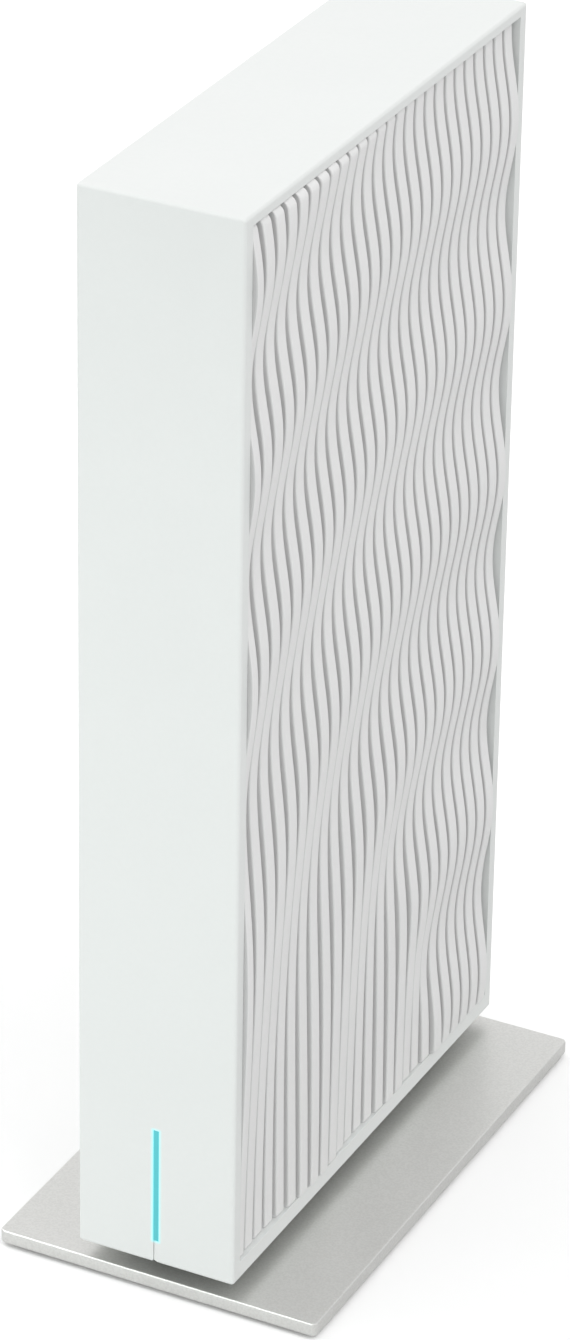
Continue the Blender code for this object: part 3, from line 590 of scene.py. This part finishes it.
WINDOW_HALF_WIDTH = 14.2 * MM
WINDOW_BOTTOM = CASING_BOTTOM + 7.0 * MM
WINDOW_TOP = CASING_TOP - 5.0 * MM
SCREW_HOLE_RADIUS = 1.7 * MM
SEAM_X = -0.4 * MM
SEAM_HALF_WIDTH = 0.1 * MM
SEAM_DEPTH = 0.35 * MM
NOTCH_RADIUS = 0.55 * MM
VENT_OFFSET = 10.5 * MM              # from the middle to each row of slots in the bottom wall
VENT_SPACING = 20 * MM
VENT_HALF_WIDTH = 1.1 * MM
VENT_HALF_LENGTH = 7 * MM


def add_screw_holes(shape, low_z, high_z):
    """Rods up through two levels, in line with the four base screws."""
    for index in range(1, 5):
        low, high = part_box(f"base_screw_{index}")
        middle = (low + high) / 2
        add_rod(shape, (middle.x, middle.y, low_z), (middle.x, middle.y, high_z),
                SCREW_HOLE_RADIUS)


def make_casing():
    """One loop of front, top, rear and bottom walls with softly rounded outer edges."""
    casing = piece("casing_shell", rounded_block(casing_low, casing_high, CASING_ROUNDING, 5),
                   FINISH["white_shell"])
    through = bmesh.new()
    add_block(through, (-2 * HALF_WIDTH, POCKET_FRONT, POCKET_BOTTOM),
              (2 * HALF_WIDTH, POCKET_REAR, POCKET_TOP))
    openings = bmesh.new()
    add_block(openings, (-WINDOW_HALF_WIDTH, POCKET_REAR - 2 * MM, WINDOW_BOTTOM),
              (WINDOW_HALF_WIDTH, REAR + MM, WINDOW_TOP))
    reach = BAR_HALF_WIDTH + BAR_GAP
    add_block(openings, (-reach, FRONT - MM, BAR_BOTTOM - BAR_GAP),
              (reach, POCKET_FRONT + MM, BAR_TOP + BAR_GAP))
    add_screw_holes(openings, CASING_BOTTOM - MM, POCKET_BOTTOM + MM)
    for side in (-1, 1):
        for row in range(-2, 3):
            centre = Vector((side * VENT_OFFSET, row * VENT_SPACING, CASING_BOTTOM))
            half = Vector((VENT_HALF_WIDTH, VENT_HALF_LENGTH, BOTTOM_BORDER + MM))
            add_block(openings, centre - half, centre + half)
    combine(casing, [through, openings])
    seam = bmesh.new()
    add_block(seam, (SEAM_X - SEAM_HALF_WIDTH, FRONT - MM, CASING_BOTTOM - MM),
              (SEAM_X + SEAM_HALF_WIDTH, FRONT + SEAM_DEPTH, BAR_BOTTOM + 0.2 * MM))
    notch = bmesh.new()
    notch_x, notch_z = SEAM_X + SEAM_HALF_WIDTH, CASING_BOTTOM + 0.1 * MM
    add_rod(notch, (notch_x, FRONT - MM, notch_z), (notch_x, FRONT + 2 * MM, notch_z),
            NOTCH_RADIUS)
    combine(casing, [seam, notch])
    soften(casing, 0.12 * MM, segments=2, angle=60.0)
    settle_normals(casing)
    on_housing(casing, "white_shell", "main_frame")


def swell_level(count, forward):
    """Level above the casing's bottom of a hollow (even count) or crest (odd count).

    forward is 0 at the rearmost rib and 1 at the foremost. Where the fan runs out, no more
    hollows come, and the level is put below the casing.
    """
    late = 1.0 + SWELL_LATE_FAN * max(count - SWELL_LATE_COUNT, 0.0)
    fan = 1.0 - SWELL_FAN * late * max(count, 0.0) ** SWELL_FAN_POWER * forward
    if fan < SWELL_FAN_LEAST:
        return -HALF_DEPTH
    drop = SWELL_DROP * forward ** SWELL_DROP_POWER / fan
    stretch = SWELL_STRETCH * (count / 10) ** SWELL_STRETCH_POWER
    return SWELL_TOP - SWELL_STEP * count - stretch - drop


def swell_count(level, forward):
    """Hollows and crests passed on the way down from the first hollow to a level."""
    low, high = SWELL_COUNTS
    for _ in range(SWELL_SEARCH_STEPS):
        middle = (low + high) / 2
        if swell_level(middle, forward) > level:
            low = middle
        else:
            high = middle
    return low


def swell(level, forward):
    """How far a rib's face stands out of the casing's side at a level.

    Where the waves lie close together, a rib may pass its neighbour only by SWELL_SIDE_STEP.
    """
    count = swell_count(level, forward)
    beside = swell_count(level, max(forward - RIB_SHARE, 0.0))
    rise = min(level / SWELL_FULL_FROM, 1.0)
    share = SWELL_LOW_SHARE + (1.0 - SWELL_LOW_SHARE) * rise * rise * (3.0 - 2.0 * rise)
    most = SWELL_SIDE_STEP / (math.pi * max(abs(beside - count), 0.01))
    return -min(SWELL_HEIGHT * share, most) * math.cos(math.pi * count)


def rib_outline():
    """Comb outline of a side panel seen from above, as (x, y) points.

    Each rib has a round front edge and a crisp rear edge.
    """
    front = POCKET_FRONT + PANEL_GAP
    rear = POCKET_REAR - PANEL_GAP
    points = [(PANEL_BACK, front)]
    for rib in range(RIB_COUNT):
        rear_edge = FRONT + FIRST_RIB_REAR_EDGE + RIB_PITCH * rib
        front_edge = max(rear_edge - RIB_WIDTH, front)
        if rib > 0:
            points.append((GROOVE_FLOOR, front_edge))
        for edge, towards, radius, steps in ((front_edge, 1, RIB_FRONT_ROUNDING, 4),
                                             (rear_edge, -1, RIB_REAR_ROUNDING, 2)):
            corner = []
            for step in range(steps + 1):
                angle = math.radians(90.0 * step / steps)
                corner.append((HALF_WIDTH - radius * (1 - math.sin(angle)),
                               edge + towards * radius * (1 - math.cos(angle))))
            points += corner if towards > 0 else corner[::-1]
        points.append((GROOVE_FLOOR, rear_edge))
    points += [(GROOVE_FLOOR, rear), (PANEL_BACK, rear)]
    return points


def rib_levels(bottom, top):
    """Heights of the rings of a side panel: close together where the rib ends are rounded."""
    levels = []
    for step in range(END_STEPS):
        angle = math.radians(90.0 * step / END_STEPS)
        levels.append(bottom + RIB_BOTTOM_ROUNDING * (1 - math.cos(angle)))
    low, high = bottom + RIB_BOTTOM_ROUNDING, top - RIB_TOP_ROUNDING
    levels += [low + (high - low) * step / RIB_STEPS for step in range(RIB_STEPS + 1)]
    for step in range(END_STEPS):
        angle = math.radians(90.0 * (step + 1) / END_STEPS)
        levels.append(high + RIB_TOP_ROUNDING * math.sin(angle))
    return levels


def end_fall(height, bottom, top):
    """How far a rib's face falls back near its two ends."""
    for rounding, gap in ((RIB_BOTTOM_ROUNDING, height - bottom), (RIB_TOP_ROUNDING, top - height)):
        if gap < rounding:
            reach = rounding - gap
            return rounding - math.sqrt(max(rounding ** 2 - reach ** 2, 0.0))
    return 0.0


def make_wave_panel(name, side, node):
    """Side panel: a comb outline drawn up in steps, each rib pushed in and out by its swell."""
    bottom = POCKET_BOTTOM + PANEL_GAP
    top = POCKET_TOP - PANEL_GAP
    levels = rib_levels(bottom, top)
    shape = bmesh.new()
    ring = [shape.verts.new((x, y, bottom)) for x, y in rib_outline()]
    edges = [shape.edges.new((first, second)) for first, second in zip(ring, ring[1:] + ring[:1])]
    shape.faces.new(ring)
    for below, above in zip(levels, levels[1:]):
        grown = bmesh.ops.extrude_edge_only(shape, edges=edges)["geom"]
        verts = {item for item in grown if isinstance(item, bmesh.types.BMVert)}
        bmesh.ops.translate(shape, verts=list(verts), vec=(0, 0, above - below))
        edges = [item for item in grown if isinstance(item, bmesh.types.BMEdge)
                 and item.verts[0] in verts and item.verts[1] in verts]
    bmesh.ops.contextual_create(shape, geom=edges)
    push_ribs(shape, bottom, top)
    if side < 0:
        bmesh.ops.scale(shape, verts=shape.verts, vec=(-1, 1, 1))
    panel = piece(name, shape, FINISH["wave_white"], smooth_angle=40.0)
    settle_normals(panel)
    on_housing(panel, "wave_white", node)


def push_ribs(shape, bottom, top):
    """Move the outer points of every rib by the swell at their height."""
    pushes = {}
    for vert in shape.verts:
        if vert.co.x < GROOVE_FLOOR + 0.5 * MM:
            continue
        rib = round((vert.co.y - FRONT - FIRST_RIB_REAR_EDGE + RIB_WIDTH / 2) / RIB_PITCH)
        rib = min(max(rib, 0), RIB_COUNT - 1)
        height = round(vert.co.z, 6)
        if (rib, height) not in pushes:
            forward = max(0.0, 1.0 - rib * RIB_SHARE)
            rise = swell(height - CASING_BOTTOM, forward)
            pushes[rib, height] = rise - end_fall(height, bottom, top)
        vert.co.x += pushes[rib, height]


# Base ------------------------------------------------------------------------------------------

PLATE_CORNER = 1.2 * MM
PLATE_CHAMFER = 0.42 * MM
MAT_CORNER = 1.9 * MM
MAT_GAP = 0.1 * MM


def make_plate():
    """Metal slab with round corners, bright chamfers, and a pocket for the mat beneath."""
    shape = bmesh.new()
    add_block(shape, plate_low, plate_high)
    round_edges(shape, upright_edges(shape), PLATE_CORNER, 6)
    rims = [edge for edge in shape.edges
            if abs(edge.verts[0].co.z - edge.verts[1].co.z) < MM / 100]
    round_edges(shape, rims, PLATE_CHAMFER, 2)
    plate = piece("base_slab", shape, FINISH["base_metal"], smooth_angle=30.0)
    mat_low, mat_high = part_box("foot_mat")
    margin = Vector((MAT_GAP, MAT_GAP, MAT_GAP))
    pocket = bmesh.new()
    low = mat_low - margin
    low.z = -MM
    add_block(pocket, low, mat_high + margin)
    round_edges(pocket, upright_edges(pocket), MAT_CORNER, 6)
    holes = bmesh.new()
    add_screw_holes(holes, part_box("base_screw_1")[0].z - 0.5 * MM, plate_high.z + MM)
    combine(plate, [pocket, holes])
    settle_normals(plate)
    on_housing(plate, "base_metal", "base_plate")


# Status light ----------------------------------------------------------------------------------

def make_light_bar():
    """Clear bar that fills its slot almost flush with the front, and the flange that holds it."""
    shape = rounded_block((-BAR_HALF_WIDTH, FRONT + BAR_INSET, BAR_BOTTOM),
                          (BAR_HALF_WIDTH, POCKET_FRONT + 0.8 * MM, BAR_TOP), 0.12 * MM, 3)
    bar = piece("light_bar", shape, FINISH["light_guide"])
    flange_low = (-2.5 * MM, POCKET_FRONT + 0.1 * MM, BAR_BOTTOM - 0.2 * MM)
    flange_high = (2.5 * MM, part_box("light_guide")[1].y, BAR_TOP + 1.4 * MM)
    combine(bar, [rounded_block(flange_low, flange_high, 0.3 * MM, 3)], "UNION")
    on_housing(bar, "light_guide", "light_guide")


# Rear sockets and buttons ------------------------------------------------------------------------

JACKS = ("network_jack_1", "network_jack_2", "network_jack_3")
JACK_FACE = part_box("network_jack_1")[1].y
JACK_WALL = 0.42 * MM
CONTACT_COUNT = 8
CONTACT_PITCH = 1.02 * MM
CONTACT_WIDTH = 0.42 * MM
CONTACT_THICKNESS = 0.28 * MM
SIGNAL_OFFSET = 5.2 * MM             # from the socket's middle, up and down
BUTTON_AXIS_X = 0.65 * MM


def add_bent_strip(shape, line, thickness, low_z, high_z):
    """Thin strip that follows a line of (x, y) points and is as wide as the two levels say."""
    side = Vector((0, 0, high_z - low_z))
    for (x1, y1), (x2, y2) in zip(line, line[1:]):
        along = Vector((x2 - x1, y2 - y1, 0))
        across = Vector((-along.y, along.x, 0)).normalized() * thickness / 2
        reach = along.normalized() * thickness / 3
        start = Vector((x1, y1, low_z)) - reach
        end = Vector((x2, y2, low_z)) + reach
        ring = [shape.verts.new(point) for point in (start + across, end + across,
                                                     end - across, start - across)]
        face = shape.faces.new(ring)
        grown = bmesh.ops.extrude_face_region(shape, geom=[face])["geom"]
        bmesh.ops.translate(shape, verts=[v for v in grown if isinstance(v, bmesh.types.BMVert)],
                            vec=side)


def make_network_jack(number, node):
    """Socket body with rounded edges, eight gilt contacts, a shield rim and two signal windows."""
    low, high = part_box(node)
    level = (low.z + high.z) / 2
    refined(node, f"network_socket_{number}", 0.16 * MM)

    contacts = bmesh.new()
    line = [(-3.5 * MM, JACK_FACE - 12.6 * MM), (-2.9 * MM, JACK_FACE - 10.5 * MM),
            (-1.0 * MM, JACK_FACE - 6.2 * MM), (-0.9 * MM, JACK_FACE - 5.5 * MM),
            (-1.5 * MM, JACK_FACE - 4.7 * MM), (-3.45 * MM, JACK_FACE - 2.4 * MM)]
    for index in range(CONTACT_COUNT):
        middle = level + (index - (CONTACT_COUNT - 1) / 2) * CONTACT_PITCH
        add_bent_strip(contacts, line, CONTACT_THICKNESS,
                       middle - CONTACT_WIDTH / 2, middle + CONTACT_WIDTH / 2)
    springs = piece(f"network_contacts_{number}", contacts, FINISH["gold"])
    on_housing(springs, "gold")

    rim = piece(f"network_shield_{number}", rounded_block(
        (low.x, JACK_FACE - 0.9 * MM, low.z), (high.x, JACK_FACE + 0.08 * MM, high.z), 0.3 * MM, 3),
        FINISH["tin"])
    opening = bmesh.new()
    add_block(opening, (low.x + JACK_WALL, JACK_FACE - 3 * MM, low.z + JACK_WALL),
              (high.x - JACK_WALL, JACK_FACE + MM, high.z - JACK_WALL))
    combine(rim, [opening])
    soften(rim, 0.08 * MM, 2)
    on_housing(rim, "tin")

    windows = bmesh.new()
    for side in (-1, 1):
        middle = level + side * SIGNAL_OFFSET
        add_block(windows, (3.9 * MM, JACK_FACE - MM, middle - 1.25 * MM),
                  (6.3 * MM, JACK_FACE + 0.07 * MM, middle + 1.25 * MM))
    round_edges(windows, windows.edges[:], 0.22 * MM, 3)
    on_housing(piece(f"network_signals_{number}", windows, FINISH["lamp"]), "lamp")


def make_power_jack():
    """Round socket with a steel centre pin and a sprung outer contact."""
    low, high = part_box("power_jack")
    level = (low.z + high.z) / 2
    face = high.y
    refined("power_jack", "power_socket", 0.18 * MM)
    pin = bmesh.new()
    profile = [(0.0, face - 10 * MM), (1.05 * MM, face - 10 * MM), (1.05 * MM, face - 4.5 * MM),
               (0.95 * MM, face - 4.1 * MM), (0.6 * MM, face - 3.85 * MM), (0.0, face - 3.8 * MM)]
    spin_profile(pin, profile, level)
    on_housing(piece("power_pin", pin, FINISH["steel"]), "steel")
    leaf = bmesh.new()
    add_bent_strip(leaf, [(-2.9 * MM, face - 9.2 * MM), (-2.6 * MM, face - 6.5 * MM),
                          (-2.35 * MM, face - 5.0 * MM), (-3.05 * MM, face - 3.6 * MM)],
                   0.3 * MM, level - 1.0 * MM, level + 1.0 * MM)
    on_housing(piece("power_contact", leaf, FINISH["steel"]), "steel")


def spin_profile(shape, profile, level, axis_x=0.0):
    """Turn a (radius, y) profile once round a line along Y."""
    ring = [shape.verts.new((axis_x + radius, y, level)) for radius, y in profile]
    edges = [shape.edges.new(pair) for pair in zip(ring, ring[1:])]
    bmesh.ops.spin(shape, geom=ring + edges, cent=(axis_x, 0, level), axis=(0, 1, 0),
                   dvec=(0, 0, 0), angle=2 * math.pi, steps=40, use_merge=True)
    bmesh.ops.remove_doubles(shape, verts=shape.verts, dist=MM / 1000)


def make_button_cap(node, name, radius, dish):
    """Push button: the node's stem and flange with a softly dished, round-edged face."""
    low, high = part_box(node)
    cap = refined(node, name, 0.28 * MM, segments=3)
    bowl = bmesh.new()
    depth = high.y - dish
    rim = radius * 0.78
    profile = [(0.0, depth), (radius * 0.35, depth + dish * 0.10),
               (radius * 0.6, depth + dish * 0.38), (rim, high.y + 0.05 * MM),
               (rim, high.y + MM), (0.0, high.y + MM)]
    spin_profile(bowl, profile, (low.z + high.z) / 2, BUTTON_AXIS_X)
    cap.modifiers.clear()
    combine(cap, [bowl])
    soften(cap, 0.25 * MM, 3, angle=35.0)
    settle_normals(cap)


def make_rear():
    refined("rear_panel", "rear_cover", 0.22 * MM)
    for number, node in enumerate(JACKS, start=1):
        make_network_jack(number, node)
    make_power_jack()
    make_button_cap("power_button", "power_cap", 3.5 * MM, 0.35 * MM)
    make_button_cap("pair_button", "pair_cap", 3.0 * MM, 0.3 * MM)
    refined("reset_button", "reset_cap", 0.2 * MM)


# Inner parts ---------------------------------------------------------------------------------------

INNER_EDGES = {
    "neck_spacer": 0.3, "foot_mat": 0.35, "chassis": 0.2, "heatsink": 0.15, "light_shroud": 0.2,
    "radio_can_low_band": 0.25, "radio_can_high_band": 0.25, "power_coil": 0.5,
    "processor": 0.12, "memory_chip": 0.1, "flash_chip": 0.1, "light_connector": 0.15,
}


def make_inner_parts():
    """Round the edges of the inner parts, which come as plain solids."""
    for node, width in INNER_EDGES.items():
        refined(node, node + "_finished", width * MM)


# Camera, light and floor -------------------------------------------------------------------------

CAMERA_PLACE = Vector((431.2 * MM, -872.4 * MM, 637.2 * MM))
CAMERA_AZIMUTH = math.radians(26.47)
CAMERA_ELEVATION = math.radians(28.41)
CAMERA_ROLL = math.radians(0.95)
CAMERA_LENS = 152.4


def make_camera():
    data = bpy.data.cameras.new("studio_camera")
    data.lens = CAMERA_LENS
    data.sensor_width = 36.0
    camera = bpy.data.objects.new("studio_camera", data)
    turn = (Matrix.Rotation(CAMERA_AZIMUTH, 4, "Z")
            @ Matrix.Rotation(math.pi / 2 - CAMERA_ELEVATION, 4, "X")
            @ Matrix.Rotation(CAMERA_ROLL, 4, "Z"))
    camera.matrix_world = Matrix.Translation(CAMERA_PLACE) @ turn
    bpy.context.scene.collection.objects.link(camera)
    bpy.context.scene.camera = camera


def softbox(name, place, aim, size, power, colour=(1.0, 1.0, 1.0)):
    """Rectangular area light at a place, turned towards a point."""
    data = bpy.data.lights.new(name, "AREA")
    data.shape = "RECTANGLE"
    data.size, data.size_y = size
    data.energy = power
    data.color = colour
    lamp = bpy.data.objects.new(name, data)
    lamp.location = place
    lamp.rotation_euler = (Vector(aim) - Vector(place)).to_track_quat("-Z", "Y").to_euler()
    lamp.visible_camera = False
    bpy.context.scene.collection.objects.link(lamp)


def make_floor_finish():
    """Pale sweep that throws back less light than it shows, as in a dark studio."""
    made = finish("studio_floor", (0.97, 0.97, 0.97), (0.96, 0.96, 0.96), 0.95,
                  grain=60.0, depth=0.01 * MM)
    tree, shader, plain = shader_of(made)
    rays = tree.nodes.new("ShaderNodeLightPath").outputs
    mirrored = blend(tree, rays["Is Camera Ray"], (0.68, 0.68, 0.68), plain)
    colour = blend(tree, rays["Is Diffuse Ray"], mirrored, (0.5, 0.5, 0.5))
    tree.links.new(colour, shader.inputs["Base Color"])
    lift = blend(tree, rays["Is Camera Ray"], (0.0, 0.0, 0.0), (0.055, 0.055, 0.055))
    tree.links.new(lift, shader.inputs["Emission Color"])
    shader.inputs["Emission Strength"].default_value = 1.0
    return made


def make_studio():
    floor = bmesh.new()
    bmesh.ops.create_grid(floor, x_segments=1, y_segments=1, size=6.0)
    ground = piece("studio_floor", floor, make_floor_finish())
    world = bpy.data.worlds.new("studio_air")
    world.use_nodes = True
    background = world.node_tree.nodes["Background"]
    background.inputs["Color"].default_value = (1.0, 1.0, 1.0, 1.0)
    background.inputs["Strength"].default_value = 0.84
    bpy.context.scene.world = world
    bpy.context.scene.view_settings.view_transform = "Standard"
    middle = (0.0, 0.0, 0.1)
    foot = (0.0, -0.06, 0.0)
    cool = (0.93, 1.0, 0.97)
    softbox("right_high_softbox", (1.2, -0.5, 1.9), middle, (1.1, 1.1), 11.0)
    softbox("front_high_softbox", (-0.3, -1.9, 1.6), middle, (1.6, 1.2), 2.1, cool)
    softbox("front_foot_softbox", (-0.1, -0.42, 0.03), foot, (0.6, 0.05), 0.52, cool)
    softbox("left_high_softbox", (-1.6, 0.0, 1.6), middle, (1.4, 1.2), 12.0)
    softbox("right_low_softbox", (2.0, -0.4, 0.5), middle, (1.4, 0.8), 2.5)


def main():
    make_camera()
    dress_cad_nodes()
    make_casing()
    make_wave_panel("wave_side_right", 1, "wave_panel_right")
    make_wave_panel("wave_side_left", -1, "wave_panel_left")
    make_plate()
    make_light_bar()
    make_rear()
    make_inner_parts()
    make_studio()


main()
